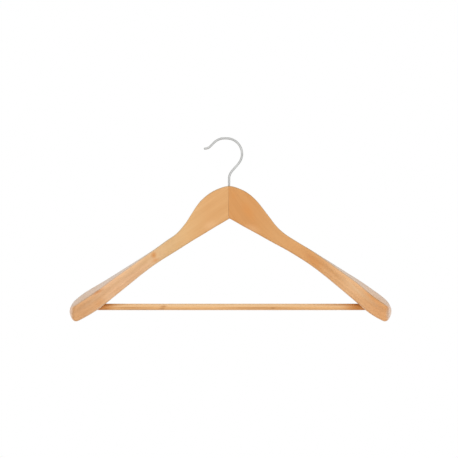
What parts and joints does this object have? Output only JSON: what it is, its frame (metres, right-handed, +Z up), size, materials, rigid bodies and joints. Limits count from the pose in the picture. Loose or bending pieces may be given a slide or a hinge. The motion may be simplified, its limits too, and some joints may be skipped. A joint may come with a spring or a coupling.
{
  "type": "clothes hanger",
  "caption": "Contoured wooden suit hanger with wide carved shoulders, a swivelling steel wire hook and a fixed round trouser bar.",
  "frame": {"origin": "on the hook's swivel axis, at the inner face of the hook above it, where the hook bears on a rail", "axes": "+X to the right of someone who faces the hanger's front, +Y towards its back, +Z up along the swivel axis"},
  "size_m": [0.4501, 0.0593, 0.2582],
  "materials": {
    "left_shoulder_wood": "satin varnish over honey-coloured hardwood, grain along the arm",
    "right_shoulder_wood": "satin varnish over honey-coloured hardwood, a little darker",
    "bar_wood": "satin varnish, straight grain along the bar",
    "hook_steel": "nickel-plated wire, satin",
    "zinc_steel": "dull zinc plate"
  },
  "bodies": {
    "hook": {"hook": "hook_steel", "hook_nut": "zinc_steel"},
    "hanger": {"left_shoulder": "left_shoulder_wood", "right_shoulder": "right_shoulder_wood", "trouser_bar": "bar_wood", "left_bar_nail": "zinc_steel", "right_bar_nail": "zinc_steel", "hook_washer": "zinc_steel"}
  },
  "joints": [
    {"name": "hook_swivel", "type": "hinge", "parent": "hook", "child": "hanger", "pos_m": [0, 0, -0.1], "axis": [0, 0, 1], "continuous": true}
  ]
}
